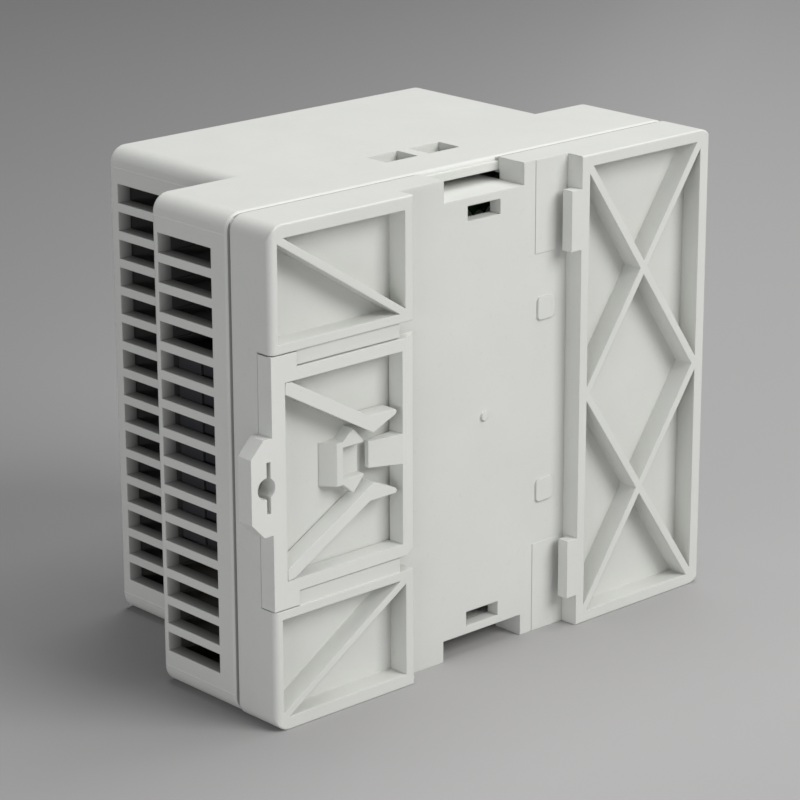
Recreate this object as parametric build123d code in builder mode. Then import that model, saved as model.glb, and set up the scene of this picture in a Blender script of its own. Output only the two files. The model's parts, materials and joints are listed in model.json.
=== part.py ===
from build123d import *

import math
import os

# DIN rail power supply in a two-shell moulded case, all in millimetres. The unit
# lies on its side: +Z runs along the rail, +Y points out of the rail side, -Y out
# of the front, and +X towards the sliding latch. The origin is in the middle of
# the face that it rests on.

# ---- Driving dimensions ----------------------------------------------------
LENGTH = 93.0               # X, across the rail
DEPTH = 56.0                # Y, from the nose to the rear rim
WIDTH = 78.0                # Z, along the rail
MID = WIDTH / 2
RIM = DEPTH / 2             # rear rim plane
FRONT = -DEPTH / 2          # front of the nose
SHOULDER = 0.8              # step between the nose and the shoulders
NOSE = (-35.3, 32.4)        # X, both ends of the nose
EDGE_R = 2.8                # long outer edges of the front shell
REAR_EDGE_R = 2.4           # and of the rear shell
RIM_ROUND = 1.0             # rear rim, along both vented ends
END_WALL = 2.5              # walls at the vented ends
SIDE_WALL = 2.0             # the other walls
SEAM = 19.2                 # front edge of the rear shell
SEAM_GAP = 0.8              # shadow gap between the shells
FRONT_END = SEAM - SEAM_GAP # rear edge of the front shell
SEAM_INSET = 0.7            # how deep the shadow gap is
SEAM_ROUND = 0.6            # rounded edge of the front shell at the gap
LIP_T = 1.0                 # tongue of the front shell inside the rear shell
LIP_LENGTH = 2.0
BAND = 1.9                  # thickened wall in front of the shadow gap

CHANNEL_LEFT = 18.8         # X, latch-side wall of the rail channel
CHANNEL_RIGHT = -16.9       # X, hook-side wall
CHANNEL_FLOOR = RIM - 3.2
PANEL_FLOOR = RIM - 3.5     # recessed panels beside the channel
REAR_INNER = 22.5           # inside of the rear wall
RIB_T = 1.3
INNER_R = 0.8               # inside corners of both shells

BAY_LOW = 19.2              # Z, latch bay
BAY_HIGH = WIDTH - BAY_LOW
LATCH_BACK = CHANNEL_FLOOR + 0.2
LATCH_END = 46.6            # X, outer face of the latch
LATCH_LOW = 21.7            # Z, latch frame
LATCH_HIGH = WIDTH - LATCH_LOW
GUIDE_LIP_IN = 21.3         # X, guide lips that hold the latch down
GUIDE_LIP_OUT = 41.5
GUIDE_LIP_DEPTH = 2.3
GUIDE_LIP_BACK = 26.6
GUIDE_LIP_TOP = 27.7

ARM_ROOT = (43.9, 14.7)     # X, and distance in Z from mid-width
ARM_T = 2.05
ARM_APEX = (26.9, 3.95)
PIVOT_GAP = 0.06
ROOT_COVER = 0.5            # skin of the latch over the root of each arm
ROOT_EDGE = [               # from the root: where the full height of an arm ends
    (-4.0, 0.18), (-0.02, 0.6), (0.04, 0.0), (0.04, -2.0), (2.0, -2.0), (2.0, 2.5), (-4.0, 2.5),
]

VENT_ROWS = 15
VENT_PITCH = 4.54
VENT_HEIGHT = 3.1
SHOULDER_VENT_Y = (2.2, 14.7)
NOSE_VENT_Y = (-25.9, -3.0)

BOARD_FRONT = 16.0
BOARD_T = 1.6
BOARD_BACK = BOARD_FRONT + BOARD_T
BOARD_X = 85.0
BOARD_Z = 67.4

POLE_PITCH = 9.5
INPUT_X = 38.8              # X, terminal screws
OUTPUT_X = -39.8
SCREW_R = 1.5
RUNNING_GAP = 0.06
INPUT_POLES = 3
OUTPUT_POLES = 4

SNAP_X = (-7.35, 9.55)      # X, snap tongues and the notches behind them
NOTCH_DEPTH = 3.5
TONGUE_T = 1.2

TRIMMER = (-24.7, 65.6)     # X, Z
LED = (-16.0, 66.0)


def rear_plane(y):
    """Sketch plane whose local axes are X and Z. Extrusions run forward, to -Y."""
    return Plane(origin=(0, y, 0), x_dir=(1, 0, 0), z_dir=(0, -1, 0))


def block(x, y, z, mode=Mode.ADD):
    """Box between two values on each axis, given in either order."""
    middle = [(pair[0] + pair[1]) / 2 for pair in (x, y, z)]
    with Locations(tuple(middle)):
        Box(abs(x[1] - x[0]), abs(y[1] - y[0]), abs(z[1] - z[0]), mode=mode)


def rod(x, z, y, radius, mode=Mode.ADD):
    """Cylinder along Y."""
    middle = (x, (y[0] + y[1]) / 2, z)
    with Locations(middle):
        Cylinder(radius, abs(y[1] - y[0]), rotation=(90, 0, 0), mode=mode)


def both_sides(z):
    """A Z range and its mirror image about mid-width."""
    return [z, (WIDTH - z[1], WIDTH - z[0])]


def brace(a, b, width=RIB_T):
    """Straight rib between two points of a pocket sketch, left standing."""
    run = math.hypot(b[0] - a[0], b[1] - a[1])
    angle = math.degrees(math.atan2(b[1] - a[1], b[0] - a[0]))
    with Locations(((a[0] + b[0]) / 2, (a[1] + b[1]) / 2)):
        Rectangle(run, width, rotation=angle, mode=Mode.SUBTRACT)


def mirrored(points, sign):
    """Points given as X and distance from mid-width, on one side of it."""
    return [(x, MID + sign * off) for x, off in points]


def pole_rows(poles):
    """Z of each terminal pole."""
    return [MID + POLE_PITCH * (i - (poles - 1) / 2) for i in range(poles)]


def save(piece, name):
    """Label a finished piece and write its STEP file."""
    piece.part.label = name
    export_step(piece.part, f"parts/{name}.step")


os.makedirs("parts", exist_ok=True)

# ---- Rear shell --------------------------------------------------------------
RIGHT_POCKET = ((-44.0, -18.65), (1.9, WIDTH - 1.9))
LEFT_POCKET = ((20.4, 45.1), (2.1, 17.8))
HOOK_Z = (5.2, 15.0)
HOOK_REACH = 2.2
PAD = (-12.25, 15.1)        # X, and distance in Z from mid-width
WINDOW_X = (-2.3, 4.6)
WINDOW_Z = (4.8, 7.2)
BOSS_X, BOSS_Z, BOSS_R = 38.0, 30.0, 2.4
WEDGE_TOP = 27.0
WEDGE_HALF = [
    (33.3, 0), (33.3, 3.4), (32.1, 3.4), (30.05, 5.1),
    (28.05, 2.8), (28.05, 2.45), (32.1, 2.45), (32.1, 0),
]
WEDGE_POCKET = (28.0, 32.2, 25.5)   # X ends and floor
WEDGE_RAMP_END = (35.1, 24.9)
CRUSH_RIBS = (1.0, 8.2, 16.6)

with BuildPart() as rear_housing:
    with BuildSketch(rear_plane(RIM)):
        with Locations((0, MID)):
            RectangleRounded(LENGTH, WIDTH, REAR_EDGE_R)
    extrude(amount=RIM - SEAM)
    fillet(rear_housing.faces().sort_by(Axis.Y)[-1].edges(), radius=0.25)
    with BuildSketch(rear_plane(REAR_INNER)):
        with Locations((0, MID)):
            RectangleRounded(LENGTH - 2 * END_WALL, WIDTH - 2 * SIDE_WALL, INNER_R)
    extrude(amount=REAR_INNER - SEAM, mode=Mode.SUBTRACT)
    with BuildSketch(Plane.XY):
        with Locations((-LENGTH / 2, RIM), (LENGTH / 2, RIM)):
            Rectangle(2 * RIM_ROUND, 2 * RIM_ROUND)
        with Locations((-LENGTH / 2 + RIM_ROUND, RIM - RIM_ROUND), (LENGTH / 2 - RIM_ROUND, RIM - RIM_ROUND)):
            Circle(RIM_ROUND, mode=Mode.SUBTRACT)
    extrude(amount=WIDTH, mode=Mode.SUBTRACT)
    block((CHANNEL_RIGHT, CHANNEL_LEFT), (CHANNEL_FLOOR, RIM + 1), (-1, WIDTH + 1), Mode.SUBTRACT)
    block((CHANNEL_LEFT - 1, LENGTH), (CHANNEL_FLOOR, RIM + 1), (BAY_LOW, BAY_HIGH), Mode.SUBTRACT)

    # braced pocket beyond the fixed hooks
    (px0, px1), (pz0, pz1) = RIGHT_POCKET
    with BuildSketch(rear_plane(RIM)):
        with Locations(((px0 + px1) / 2, MID)):
            Rectangle(px1 - px0, pz1 - pz0)
        for low, high in ((pz0, MID), (MID, pz1)):
            brace((px0, low), (px1, high))
            brace((px0, high), (px1, low))
    extrude(amount=RIM - PANEL_FLOOR, mode=Mode.SUBTRACT)

    # pockets on either side of the latch, each with one diagonal
    (qx0, qx1), (qz0, qz1) = LEFT_POCKET
    for sign in (-1, 1):
        near, far = MID - qz1, MID - qz0
        with BuildSketch(rear_plane(RIM)):
            with Locations(((qx0 + qx1) / 2, MID + sign * (near + far) / 2)):
                Rectangle(qx1 - qx0, qz1 - qz0)
            brace(*mirrored([(qx1, far), (qx0, near)], sign), width=1.2)
        extrude(amount=RIM - PANEL_FLOOR, mode=Mode.SUBTRACT)

    # fixed rail hooks, the moulded-step strips below them and the contact pads
    for z in both_sides(HOOK_Z):
        block((CHANNEL_RIGHT - 0.4, CHANNEL_RIGHT + HOOK_REACH), (RIM - 2.0, RIM), z)
    for z in both_sides((0, HOOK_Z[1])):
        block((CHANNEL_RIGHT - 0.2, -9.9), (CHANNEL_FLOOR - 0.5, CHANNEL_FLOOR + 0.08), z)
    with BuildSketch(rear_plane(CHANNEL_FLOOR + 0.3)):
        with Locations((PAD[0], MID - PAD[1]), (PAD[0], MID + PAD[1])):
            RectangleRounded(3.6, 3.8, 0.7)
    extrude(amount=0.8)
    rod(1.0, MID, (CHANNEL_FLOOR - 0.5, CHANNEL_FLOOR + 0.35), 0.7)
    for off in CRUSH_RIBS:
        for z in (off, WIDTH - off):
            rod(CHANNEL_LEFT, z, (CHANNEL_FLOOR - 0.5, RIM - 0.3), 0.4)

    # notches behind the snap tongues, and the small windows beside them
    for z in both_sides((-1, NOTCH_DEPTH)):
        block(SNAP_X, (SEAM - 1, RIM + 1), z, Mode.SUBTRACT)
    for z in both_sides(WINDOW_Z):
        block(WINDOW_X, (REAR_INNER - 1, RIM), z, Mode.SUBTRACT)
    for sign in (-1, 1):
        tongue = (MID + sign * (MID - NOTCH_DEPTH - TONGUE_T), MID + sign * (MID - NOTCH_DEPTH))
        block(SNAP_X, (5.6, CHANNEL_FLOOR), tongue)
        cheek = (tongue[0], MID + sign * (MID - SIDE_WALL - 0.001))
        for x in ((SNAP_X[0] - 1.5, SNAP_X[0]), (SNAP_X[1], SNAP_X[1] + 1.5)):
            block(x, (SEAM + 0.2, REAR_INNER + 0.2), cheek)
        for x in (-7.2, 1.6):
            with BuildSketch(Plane.YZ.offset(x)):
                with BuildLine():
                    Polyline(
                        *mirrored([(5.8, MID - NOTCH_DEPTH - 0.3), (5.8, MID - NOTCH_DEPTH + 0.4),
                                   (9.2, MID - 1.1), (9.9, MID - 1.1),
                                   (9.9, MID - NOTCH_DEPTH - 0.3)], sign),
                        close=True,
                    )
                make_face()
            extrude(amount=6.0)

    # latch bay: guide lips along both sides, and the wedge between the spring arms
    for z in both_sides((BAY_LOW - 0.7, BAY_LOW + GUIDE_LIP_DEPTH)):
        block((GUIDE_LIP_IN, GUIDE_LIP_OUT), (GUIDE_LIP_BACK, GUIDE_LIP_TOP), z)
    with BuildSketch(rear_plane(WEDGE_TOP)):
        for sign in (-1, 1):
            with BuildLine():
                Polyline(*mirrored(WEDGE_HALF, sign), close=True)
            make_face()
    extrude(amount=WEDGE_TOP - CHANNEL_FLOOR + 0.5)
    block(WEDGE_POCKET[:2], (CHANNEL_FLOOR - 0.5, WEDGE_POCKET[2]), (MID - 2.5, MID + 2.5))
    with BuildSketch(Plane.XY.offset(MID - WEDGE_HALF[1][1])):
        with BuildLine():
            Polyline((32.2, CHANNEL_FLOOR - 0.5), (32.2, WEDGE_TOP), (WEDGE_HALF[1][0], WEDGE_TOP),
                     WEDGE_RAMP_END, (WEDGE_RAMP_END[0], CHANNEL_FLOOR - 0.5), close=True)
        make_face()
    extrude(amount=2 * WEDGE_HALF[1][1])

    # bosses for the board screws
    with BuildSketch(rear_plane(REAR_INNER + 0.5)):
        with Locations((0, MID)):
            with GridLocations(2 * BOSS_X, 2 * BOSS_Z, 2, 2):
                Circle(BOSS_R)
    extrude(amount=REAR_INNER + 0.5 - BOARD_BACK)
    with BuildSketch(rear_plane(REAR_INNER + 0.5)):
        with Locations((0, MID)):
            with GridLocations(2 * BOSS_X, 2 * BOSS_Z, 2, 2):
                Circle(1.3)
    extrude(amount=REAR_INNER + 0.5 - BOARD_BACK, mode=Mode.SUBTRACT)
save(rear_housing, "rear_housing")

# ---- Front shell with its nose, vents and terminal windows ------------------------
LABEL_X, LABEL_Z, LABEL_DEPTH = (-11.0, 25.0), (9.0, 69.0), 0.5
SNAP_WINDOW_Y = (5.4, 10.1)
NOSE_MID = (NOSE[0] + NOSE[1]) / 2
NOSE_WIDTH = NOSE[1] - NOSE[0]
SNAP_WINDOW_X = ((-7.55, -0.95), (1.35, 7.95))

with BuildPart() as front_housing:
    with BuildSketch(rear_plane(FRONT_END)):
        with Locations((0, MID)):
            RectangleRounded(LENGTH, WIDTH, EDGE_R)
    extrude(amount=FRONT_END - SHOULDER)
    fillet(front_housing.faces().sort_by(Axis.Y)[0].edges(), radius=0.8)
    fillet(front_housing.faces().sort_by(Axis.Y)[-1].edges(), radius=SEAM_ROUND)
    with BuildSketch(rear_plane(SHOULDER + 5)):
        with Locations((NOSE_MID, MID)):
            RectangleRounded(NOSE_WIDTH, WIDTH, EDGE_R)
    extrude(amount=SHOULDER + 5 - FRONT)
    fillet(front_housing.faces().sort_by(Axis.Y)[0].edges(), radius=0.7)
    with BuildSketch(rear_plane(FRONT_END)):
        with Locations((0, MID)):
            RectangleRounded(LENGTH - 2 * END_WALL, WIDTH - 2 * SIDE_WALL, INNER_R)
    extrude(amount=FRONT_END - SHOULDER - SIDE_WALL, mode=Mode.SUBTRACT)
    with BuildSketch(rear_plane(SHOULDER + 5)):
        with Locations((NOSE_MID, MID)):
            RectangleRounded(NOSE_WIDTH - 2 * END_WALL, WIDTH - 2 * SIDE_WALL, INNER_R)
    extrude(amount=SHOULDER + 5 - FRONT - SIDE_WALL, mode=Mode.SUBTRACT)

    # thickened band at the seam, the shadow gap and the tongue beyond it
    lip_out_x = LENGTH - 2 * END_WALL - 0.2
    lip_out_z = WIDTH - 2 * SIDE_WALL - 0.2
    for start, end, out_x, out_z, lip_r in (
        (FRONT_END, FRONT_END - BAND, LENGTH - 2 * END_WALL + 0.4, WIDTH - 2 * SIDE_WALL + 0.4, 1.0),
        (SEAM, FRONT_END, LENGTH - 2 * SEAM_INSET, WIDTH - 2 * SEAM_INSET, EDGE_R - SEAM_INSET),
        (SEAM + LIP_LENGTH, SEAM, lip_out_x, lip_out_z, INNER_R + 0.2),
    ):
        with BuildSketch(rear_plane(start)):
            with Locations((0, MID)):
                RectangleRounded(out_x, out_z, lip_r)
                RectangleRounded(lip_out_x - 2 * LIP_T, lip_out_z - 2 * LIP_T, 1.0, mode=Mode.SUBTRACT)
        extrude(amount=start - end)
    for z in both_sides((SIDE_WALL, SIDE_WALL + 2)):
        block((SNAP_X[0] - 1.8, SNAP_X[1] + 1.8), (FRONT_END - 4, SEAM + 3), z, Mode.SUBTRACT)
    for z in both_sides((-1, SIDE_WALL)):
        block((SNAP_X[0], SNAP_X[1]), (SEAM, SEAM + 3), z, Mode.SUBTRACT)

    # vents through both ends of the shoulders and of the nose
    for x, y in (((-LENGTH / 2, LENGTH / 2), SHOULDER_VENT_Y), (NOSE, NOSE_VENT_Y)):
        with BuildSketch(Plane.YZ.offset(x[0] - 1)):
            with Locations(((y[0] + y[1]) / 2, MID)):
                with GridLocations(1, VENT_PITCH, 1, VENT_ROWS):
                    Rectangle(y[1] - y[0], VENT_HEIGHT)
        extrude(amount=x[1] - x[0] + 2, mode=Mode.SUBTRACT)

    # snap windows in both sides
    for x in SNAP_WINDOW_X:
        block(x, SNAP_WINDOW_Y, (-1, WIDTH + 1), Mode.SUBTRACT)

    # terminal windows in the shoulders
    for x, poles in ((INPUT_X, INPUT_POLES), (OUTPUT_X, OUTPUT_POLES)):
        for z in pole_rows(poles):
            block((x - 4, x + 4), (SHOULDER - 1, SHOULDER + SIDE_WALL + 0.2),
                  (z - 3.7, z + 3.7), Mode.SUBTRACT)

    # nose front: label recess, trimmer hole and light-pipe hole
    with BuildSketch(rear_plane(FRONT + LABEL_DEPTH)):
        with Locations(((LABEL_X[0] + LABEL_X[1]) / 2, (LABEL_Z[0] + LABEL_Z[1]) / 2)):
            RectangleRounded(LABEL_X[1] - LABEL_X[0], LABEL_Z[1] - LABEL_Z[0], 1.5)
    extrude(amount=2, mode=Mode.SUBTRACT)
    rod(TRIMMER[0], TRIMMER[1], (FRONT - 1, FRONT + 3), 2.5, Mode.SUBTRACT)
    rod(LED[0], LED[1], (FRONT - 1, FRONT + 3), 1.6, Mode.SUBTRACT)
save(front_housing, "front_housing")

with BuildPart() as label_plate:
    with BuildSketch(rear_plane(FRONT + LABEL_DEPTH)):
        with Locations(((LABEL_X[0] + LABEL_X[1]) / 2, (LABEL_Z[0] + LABEL_Z[1]) / 2)):
            RectangleRounded(LABEL_X[1] - LABEL_X[0] - 0.3, LABEL_Z[1] - LABEL_Z[0] - 0.3, 1.4)
    extrude(amount=LABEL_DEPTH - 0.1)
save(label_plate, "label_plate")

# ---- Sliding latch ---------------------------------------------------------------
NOSE_TIP = 17.2
NOSE_RIM = 20.2
INNER_BAR = 21.0
POST_IN = 44.0
RAIL_T = 1.95
CORNER_IN = GUIDE_LIP_OUT + 0.2
TAB = [(46.0, 7.5), (48.25, 7.5), (50.65, 5.0), (50.65, -5.0), (48.25, -7.5), (46.0, -7.5)]
KEYHOLE = (47.8, MID)
TONGUE_ROOT = (INNER_BAR, RIM, 2.4)     # X, Y of the top, half width
TONGUE_TIP = (26.6, 26.45, 2.1)
TONGUE_BACK = 25.65

with BuildPart() as din_latch:
    with BuildSketch(rear_plane(RIM)):
        with Locations(((INNER_BAR - 1 + LATCH_END) / 2, MID)):
            Rectangle(LATCH_END - INNER_BAR + 1, LATCH_HIGH - LATCH_LOW)
        with Locations(((INNER_BAR + POST_IN) / 2, MID)):
            Rectangle(POST_IN - INNER_BAR, LATCH_HIGH - LATCH_LOW - 2 * RAIL_T, mode=Mode.SUBTRACT)
        with Locations(((CORNER_IN + LATCH_END) / 2, MID)):
            Rectangle(LATCH_END - CORNER_IN, 2 * (MID - BAY_LOW - 0.2))
        with Locations(((CORNER_IN + POST_IN) / 2 - 0.01, MID)):
            Rectangle(POST_IN - CORNER_IN + 0.02, LATCH_HIGH - LATCH_LOW - 2 * RAIL_T, mode=Mode.SUBTRACT)
        with BuildLine():
            Polyline(*mirrored(TAB, 1), close=True)
        make_face()
        with Locations(KEYHOLE):
            Circle(1.65, mode=Mode.SUBTRACT)
        with Locations((KEYHOLE[0] - 0.45, MID)):
            Rectangle(0.75, 8.0, mode=Mode.SUBTRACT)
    extrude(amount=RIM - LATCH_BACK)
    # sloping tongue that enters the pocket of the fixed wedge
    with BuildSketch(Plane.XY.offset(MID - TONGUE_ROOT[2])):
        with BuildLine():
            Polyline((INNER_BAR - 0.5, TONGUE_BACK), (INNER_BAR - 0.5, RIM), TONGUE_ROOT[:2],
                     TONGUE_TIP[:2], (TONGUE_TIP[0], TONGUE_BACK), close=True)
        make_face()
    extrude(amount=2 * TONGUE_ROOT[2])
    with BuildSketch(rear_plane(RIM)):
        for sign in (-1, 1):
            with BuildLine():
                Polyline(*mirrored([(INNER_BAR, TONGUE_ROOT[2]), (TONGUE_TIP[0], TONGUE_TIP[2]),
                                    (TONGUE_TIP[0] + 1, TONGUE_TIP[2]), (TONGUE_TIP[0] + 1, 3), (INNER_BAR, 3)],
                                   sign), close=True)
            make_face()
    extrude(amount=RIM - TONGUE_BACK + 0.2, mode=Mode.SUBTRACT)
    # ramped nose that reaches over the edge of the rail
    with BuildSketch(Plane.XY.offset(LATCH_LOW)):
        with BuildLine():
            Polyline(
                (NOSE_RIM, RIM), (NOSE_TIP, RIM - 1.8), (NOSE_TIP, RIM - 2.1), (19.9, RIM - 2.1),
                (19.9, LATCH_BACK), (INNER_BAR, LATCH_BACK), (INNER_BAR, RIM), close=True,
            )
        make_face()
    extrude(amount=LATCH_HIGH - LATCH_LOW)
    block((0, 19.9), (LATCH_BACK - 1, RIM - 2.1), (0, WIDTH), Mode.SUBTRACT)
    with BuildSketch(Plane.XY.offset(0)):
        with BuildLine():
            Polyline((NOSE_RIM, RIM), (NOSE_TIP - 3, RIM - 3.8), (NOSE_TIP - 3, RIM + 1),
                     (NOSE_RIM, RIM + 1), close=True)
        make_face()
    extrude(amount=WIDTH, mode=Mode.SUBTRACT)
    # flanges under the guide lips
    for z in both_sides((BAY_LOW + 0.3, LATCH_LOW + 0.2)):
        block((GUIDE_LIP_IN + 0.2, CORNER_IN + 0.2), (LATCH_BACK, GUIDE_LIP_BACK - 0.2), z)
    # sockets at the roots of the spring arms
    for sign in (-1, 1):
        root = mirrored([ARM_ROOT], sign)[0]
        hollow = (LATCH_BACK - 1, RIM - ROOT_COVER)
        rod(root[0], root[1], hollow, ARM_T / 2 + PIVOT_GAP, Mode.SUBTRACT)
        block((42.3, 43.95), hollow, (MID + sign * 15.83, MID + sign * 15.2), Mode.SUBTRACT)
        block((43.9, 44.5), hollow, (MID + sign * 14.7, MID + sign * 13.35), Mode.SUBTRACT)
save(din_latch, "din_latch")

# Spring arms: one moulding with the latch in fact, each bending at its root.
arm_run = (ARM_ROOT[0] - ARM_APEX[0], ARM_ROOT[1] - ARM_APEX[1])
arm_slope = math.atan2(arm_run[1], arm_run[0]) - math.asin(ARM_T / 2 / math.hypot(*arm_run))
normal = (ARM_T / 2 * math.sin(arm_slope), -ARM_T / 2 * math.cos(arm_slope))
ARM_OUTLINE = [
    (ARM_ROOT[0] + normal[0], ARM_ROOT[1] + normal[1]), ARM_APEX,
    (22.45, 5.85), (22.2, 6.25), (22.45, 6.65), (27.6, 6.7),
    (ARM_ROOT[0] - normal[0], ARM_ROOT[1] - normal[1]),
]
for name, sign in (("latch_arm_lower", -1), ("latch_arm_upper", 1)):
    with BuildPart() as arm:
        with BuildSketch(rear_plane(RIM)):
            with BuildLine():
                Polyline(*mirrored(ARM_OUTLINE, sign), close=True)
            make_face()
            with Locations(mirrored([ARM_ROOT], sign)[0]):
                Circle(ARM_T / 2)
        extrude(amount=RIM - LATCH_BACK)
        with BuildSketch(rear_plane(RIM + 1)):
            with BuildLine():
                edge = [(ARM_ROOT[0] + x, ARM_ROOT[1] + off) for x, off in ROOT_EDGE]
                Polyline(*mirrored(edge, sign), close=True)
            make_face()
        extrude(amount=ROOT_COVER + 0.1 + 1, mode=Mode.SUBTRACT)
    save(arm, name)

# ---- Main board, its screws and the insulating sheet -----------------------------
with BuildPart() as main_board:
    with BuildSketch(rear_plane(BOARD_BACK)):
        with Locations((0, MID)):
            RectangleRounded(BOARD_X, BOARD_Z, 1.0)
            with GridLocations(2 * BOSS_X, 2 * BOSS_Z, 2, 2):
                Circle(1.5, mode=Mode.SUBTRACT)
    extrude(amount=BOARD_T)
save(main_board, "main_board")

with BuildPart() as insulation_sheet:
    with BuildSketch(rear_plane(21.4)):
        with Locations((0, MID)):
            RectangleRounded(70.0, 52.0, 2.0)
    extrude(amount=0.4)
save(insulation_sheet, "insulation_sheet")

with BuildPart() as board_screws:
    for x in (-BOSS_X, BOSS_X):
        for z in (MID - BOSS_Z, MID + BOSS_Z):
            rod(x, z, (BOARD_FRONT - 1.6, BOARD_FRONT), 2.3)
            rod(x, z, (BOARD_FRONT - 0.1, REAR_INNER - 0.4), 1.25)
            block((x - 1.6, x + 1.6), (BOARD_FRONT - 1.7, BOARD_FRONT - 0.8), (z - 0.3, z + 0.3), Mode.SUBTRACT)
            block((x - 0.3, x + 0.3), (BOARD_FRONT - 1.7, BOARD_FRONT - 0.8), (z - 1.6, z + 1.6), Mode.SUBTRACT)
save(board_screws, "board_screws")

with BuildPart() as solder_joints:
    for x in range(-36, 37, 8):
        for z in (9.0, 15.0, 28.0, 50.0, 63.0, 69.0):
            if not (abs(x) > 30 and (z < 16 or z > 62)):
                with Locations(Location((x + (z % 5) - 2, BOARD_BACK + 0.7, z), (90, 0, 0))):
                    Cone(0.3, 1.1, 1.4)
    for x, z in ((-4.7, 68.6), (-7.2, 68.9)):
        with Locations(Location((x, BOARD_BACK + 0.7, z), (90, 0, 0))):
            Cone(0.3, 1.1, 1.4)
save(solder_joints, "solder_joints")

# ---- Terminals ---------------------------------------------------------------------
BASE_IN, BASE_OUT = 34.4, 43.2
SCREEN_OUT = LENGTH / 2 - END_WALL - 0.2    # closed outer side of the block, next to the vents
WALL_FRONT = SHOULDER + SIDE_WALL + 0.3
PLATE_FRONT = 6.6
BASE_FRONT = 7.4
CLAMP_BACK = PLATE_FRONT - 0.1
CLAMP_FRONT = CLAMP_BACK - 0.9
HEAD_BACK = CLAMP_FRONT - 0.1
HEAD_FRONT = HEAD_BACK - 2.1
SHANK_END = 13.5

for side, x, poles in (("input", INPUT_X, INPUT_POLES), ("output", OUTPUT_X, OUTPUT_POLES)):
    rows = pole_rows(poles)
    end = math.copysign(1, x)
    with BuildPart() as terminal_block:
        block((end * BASE_IN, end * BASE_OUT), (BASE_FRONT, BOARD_FRONT),
              (rows[0] - POLE_PITCH / 2 - 0.8, rows[-1] + POLE_PITCH / 2 + 0.8))
        for i in range(poles + 1):
            wall = rows[0] + POLE_PITCH * (i - 0.5)
            block((end * BASE_IN, end * BASE_OUT), (WALL_FRONT, BOARD_FRONT), (wall - 0.8, wall + 0.8))
        block((x + end * 3.35, end * SCREEN_OUT), (WALL_FRONT, BASE_FRONT + 1.0),
              (rows[0] - POLE_PITCH / 2 - 0.8, rows[-1] + POLE_PITCH / 2 + 0.8))
        for z in rows:
            rod(x, z, (BASE_FRONT - 1, SHANK_END + 0.6), SCREW_R + 0.3, Mode.SUBTRACT)
    save(terminal_block, f"{side}_terminal_block")

    with BuildPart() as contacts:
        for z in rows:
            block((end * 33.4, x + end * 3.2), (PLATE_FRONT, BASE_FRONT), (z - 3.4, z + 3.4))
            block((end * 33.4, end * (BASE_IN - 0.1)), (PLATE_FRONT, BOARD_FRONT), (z - 1.5, z + 1.5))
            rod(x, z, (PLATE_FRONT - 1, BASE_FRONT + 1), SCREW_R + RUNNING_GAP, Mode.SUBTRACT)
    save(contacts, f"{side}_contacts")

    for i, z in enumerate(rows, start=1):
        with BuildPart() as clamp:
            block((x - 3.2, x + 3.2), (CLAMP_FRONT, CLAMP_BACK), (z - 3.2, z + 3.2))
            rod(x, z, (CLAMP_FRONT - 1, CLAMP_BACK + 1), SCREW_R + RUNNING_GAP, Mode.SUBTRACT)
        save(clamp, f"{side}_clamp_{i}")

        with BuildPart() as screw:
            rod(x, z, (HEAD_FRONT, HEAD_BACK), 2.8)
            fillet(screw.faces().sort_by(Axis.Y)[0].edges(), radius=0.5)
            rod(x, z, (HEAD_BACK - 0.1, SHANK_END), SCREW_R)
            block((x - 2.1, x + 2.1), (HEAD_FRONT - 1, HEAD_FRONT + 1.2), (z - 0.4, z + 0.4), Mode.SUBTRACT)
            block((x - 0.4, x + 0.4), (HEAD_FRONT - 1, HEAD_FRONT + 1.2), (z - 2.1, z + 2.1), Mode.SUBTRACT)
        save(screw, f"{side}_screw_{i}")

# ---- Input side: fuse, surge parts, filter and rectifier -----------------------------
FUSE_X, FUSE_Y, FUSE_Z = 27.8, 11.0, (49.5, 69.5)
with BuildPart() as input_fuse:
    with BuildSketch(Plane.XY.offset(FUSE_Z[0] + 4.5)):
        with Locations((FUSE_X, FUSE_Y)):
            Circle(2.5)
            Circle(2.1, mode=Mode.SUBTRACT)
    extrude(amount=FUSE_Z[1] - FUSE_Z[0] - 9)
save(input_fuse, "input_fuse")

with BuildPart() as fuse_caps:
    for start in (FUSE_Z[0], FUSE_Z[1] - 4.5):
        with Locations((FUSE_X, FUSE_Y, start + 2.25)):
            Cylinder(2.7, 4.5)
        rod(FUSE_X, start + 2.25, (FUSE_Y + 2, BOARD_FRONT), 0.4)
save(fuse_caps, "fuse_caps")


def disc_part(x, z, y, radius, thickness, legs):
    """Round radial-lead part standing on the board, its axis along X."""
    with Locations((x, y, z)):
        Cylinder(radius, thickness, rotation=(0, 90, 0))
    for offset in (-legs / 2, legs / 2):
        rod(x, z + offset, (y, BOARD_FRONT), 0.35)


with BuildPart() as varistor:
    disc_part(27.2, 41.5, 8.0, 5.5, 4.0, 7.5)
    fillet(varistor.edges().filter_by(GeomType.CIRCLE).sort_by(SortBy.RADIUS)[-2:], radius=1.2)
save(varistor, "varistor")

with BuildPart() as thermistor:
    disc_part(27.2, 28.5, 7.5, 6.0, 4.4, 7.5)
    fillet(thermistor.edges().filter_by(GeomType.CIRCLE).sort_by(SortBy.RADIUS)[-2:], radius=1.2)
save(thermistor, "thermistor")

with BuildPart() as y_capacitors:
    for z in (55.5, 65.0):
        disc_part(-7.0, z, 10.0, 4.0, 3.6, 5.0)
save(y_capacitors, "y_capacitors")

with BuildPart() as x_capacitor:
    block((20.9, 29.5), (1.5, BOARD_FRONT), (6.5, 20.5))
    fillet(x_capacitor.edges().filter_by(Axis.Y), radius=0.8)
    fillet(x_capacitor.faces().sort_by(Axis.Y)[0].edges(), radius=0.6)
save(x_capacitor, "x_capacitor")

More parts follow.
